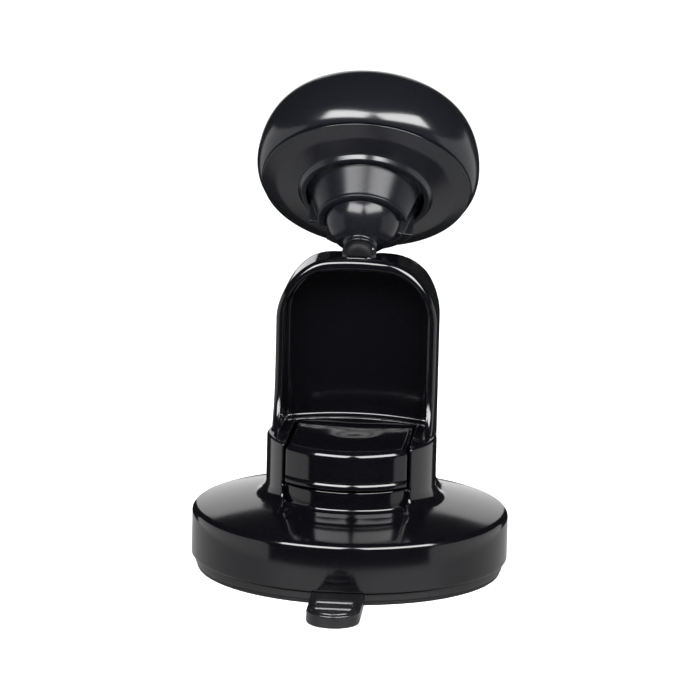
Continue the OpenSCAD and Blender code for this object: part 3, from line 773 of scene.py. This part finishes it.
# Rubber face with a shallow ring groove
pocket_t = 19.95
mark_r = 14.1
face_profile = rounded([
    (0, FACE_T, 0), (0, pocket_t + 0.8, 0), (PAD_R - 5, pocket_t + 0.8, 0.1), (PAD_R - 5, pocket_t, 0.1),
    (PAD_R + 1.4, pocket_t, 0.2), (PAD_R + 1.4, FACE_T - 2.5, 0.1), (PAD_R, FACE_T - 2.5, 0.1),
    (PAD_R, FACE_T, 0.3), (mark_r + 0.5, FACE_T, 0.1), (mark_r + 0.25, FACE_T - 0.25, 0.1),
    (mark_r - 0.25, FACE_T - 0.25, 0.1), (mark_r - 0.5, FACE_T, 0.1),
])
face = lathe("face_rubber", face_profile, BALL, AXIS, PAD_RUBBER, 192)
stand_for(face, "face_pad", "head")

# Sticky ring under the suction ring
gel_top = GEL_H - 0.02
gel_profile = rounded([
    (RING_R - 7, 0, 0.3), (RING_R - 0.4, 0, 0.3), (RING_R - 0.4, gel_top, 0.1), (RING_R - 7, gel_top, 0.1),
])
gel = lathe("gel_ring", gel_profile, (0, 0, 0), (0, 0, 1), GEL, 192)
stand_for(gel, "gel_pad", "base")

# Rubber membrane, drawn up in the middle
membrane_profile = rounded([
    (0, 3.65, 0), (13, 3.65, 3), (20, 2.5, 6), (CUP_BORE_R - 4, 1.0, 3), (CUP_BORE_R - 0.1, 1.0, 0.2),
    (CUP_BORE_R - 0.1, 1.9, 0.2), (CUP_BORE_R - 3.6, 1.9, 3), (20.2, 3.4, 6), (13.4, 4.55, 3), (0, 4.55, 0),
], 7)
membrane = lathe("cup_membrane", membrane_profile, (0, 0, 0), (0, 0, 1), SOFT_RUBBER, 128)
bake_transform(membrane)
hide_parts("suction_membrane")

spring = spring_mesh(
    "plunger_spring", radius=6.9, wire=0.55, z0=7.18, z1=11.2, turns=4.5, centre_y=PIN_Y,
    material=SPRING_STEEL,
)
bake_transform(spring)
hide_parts("return_spring")

# CAD pieces that keep their own mesh: a finish and a fine bevel
CAD_FINISH = {
    "arm_cover_screws": (SCREW_STEEL, 0.12),
    "stud_pin": (SCREW_STEEL, 0.1),
    "wear_plate": (PIN_STEEL, 0.08),
    "spring_washer": (PIN_STEEL, 0.08),
    "plunger": (INNER_PLASTIC, 0.25),
    "lever_pin": (PIN_STEEL, 0.15),
    "friction_pad": (PAD_RUBBER, 0.1),
    "magnet_tray": (INNER_PLASTIC, 0.2),
    "yoke_plate": (SCREW_STEEL, 0.15),
    "magnets": (NICKEL, 0.2),
    "head_screws": (SCREW_STEEL, 0.08),
}
for node, (material, width) in CAD_FINISH.items():
    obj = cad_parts[node]
    obj.data.materials.clear()
    obj.data.materials.append(material)
    bevel = obj.modifiers.new("edges", "BEVEL")
    bevel.width = width * MM
    bevel.segments = 2
    bevel.limit_method = "ANGLE"
    bevel.angle_limit = math.radians(40)
    bevel.harden_normals = True


# ---------------------------------------------------------------- stage, lights and camera

def stage_material(name, glow):
    """Pale matt paper with a faint mottle and a little light of its own."""
    material = moulded(name, (0.80, 0.80, 0.80), (0.84, 0.84, 0.84), 0.85, 0.1, 12, 0.0, specular=0.1)
    shader = material.node_tree.nodes["Principled BSDF"]
    shader.inputs["Emission Color"].default_value = (1, 1, 1, 1)
    shader.inputs["Emission Strength"].default_value = glow
    return material


def stage_disc(name, radius, z, material):
    """A flat round sheet; its measures are metres."""
    count = 128
    angle = np.arange(count) * 2 * math.pi / count
    points = np.stack([radius * np.cos(angle), radius * np.sin(angle), 0 * angle + z], 1)
    mesh = bpy.data.meshes.new(name)
    mesh.from_pydata(points.tolist(), [], [list(range(count))])
    mesh.materials.append(material)
    obj = bpy.data.objects.new(name, mesh)
    bpy.context.scene.collection.objects.link(obj)
    return obj


floor = stage_disc("floor", 6.0, 0.0, stage_material("pale_floor", 0.42))
floor.visible_glossy = False

# A bright card under the base, which only reflections show
card = bpy.data.materials.new("card")
card.use_nodes = True
card_shader = card.node_tree.nodes["Principled BSDF"]
card_shader.inputs["Base Color"].default_value = (0, 0, 0, 1)
card_shader.inputs["Emission Color"].default_value = (1, 1, 1, 1)
card_shader.inputs["Emission Strength"].default_value = 0.5
near_card = stage_disc("near_card", 0.068, 0.00002, card)
near_card.visible_camera = False
near_card.visible_diffuse = False
near_card.visible_shadow = False

world = bpy.data.worlds.new("studio")
bpy.context.scene.world = world
world.use_nodes = True
world.node_tree.nodes["Background"].inputs["Color"].default_value = (0.9, 0.92, 0.95, 1)
world.node_tree.nodes["Background"].inputs["Strength"].default_value = 0.02

# The middle of the object, in metres
CENTRE = Vector((0, 0.003, 0.055))
VIEW_AZ = 5.05


def softbox(name, azimuth, elevation, distance, width, height, power):
    """A rectangular light aimed at the object. Azimuth is counted from the camera's, to the right."""
    a = math.radians(VIEW_AZ + azimuth)
    e = math.radians(elevation)
    out = Vector((math.sin(a) * math.cos(e), -math.cos(a) * math.cos(e), math.sin(e)))
    light = bpy.data.lights.new(name, "AREA")
    light.shape = "RECTANGLE"
    light.size = width
    light.size_y = height
    light.energy = power
    obj = bpy.data.objects.new(name, light)
    obj.location = CENTRE + out * distance
    obj.rotation_mode = "QUATERNION"
    obj.rotation_quaternion = out.to_track_quat("Z", "Y")
    bpy.context.scene.collection.objects.link(obj)


softbox("key_left", -30, 38, 0.9, 0.70, 0.40, 16)
softbox("key_right", 39, 38, 0.9, 0.84, 0.40, 18)
softbox("backdrop", 180, 8, 1.1, 0.5, 0.62, 1.06)
softbox("side_left", -101, -12, 0.9, 1.5, 0.76, 3)
softbox("side_right", 101, -12, 0.9, 1.5, 0.76, 3)

# The camera aims at a point a little right of the frame's origin and well above it, in its own directions
view_az = math.radians(VIEW_AZ)
view_el = math.radians(12.8)
roll = math.radians(1.42)
distance = 1.5
view_width = 157.764
aim_right = 0.282
aim_up = 48.749
sensor = 36
level = math.cos(view_el)
toward = Vector((math.sin(view_az) * level, -math.cos(view_az) * level, math.sin(view_el)))
right = Vector((math.cos(view_az), math.sin(view_az), 0))
up = toward.cross(right)
cam_right = right * math.cos(roll) + up * math.sin(roll)
cam_up = up * math.cos(roll) - right * math.sin(roll)
target = (cam_right * aim_right + cam_up * aim_up) * MM
camera = bpy.data.objects.new("camera", bpy.data.cameras.new("camera"))
camera.data.sensor_width = sensor
camera.data.lens = sensor * distance / (view_width * MM)
camera.data.clip_start = 0.05
camera.data.clip_end = 30
basis = Matrix((cam_right, cam_up, toward)).transposed().to_4x4()
basis.translation = target + toward * distance
camera.matrix_world = basis
bpy.context.scene.collection.objects.link(camera)
bpy.context.scene.camera = camera
bpy.context.scene.view_settings.view_transform = "Standard"
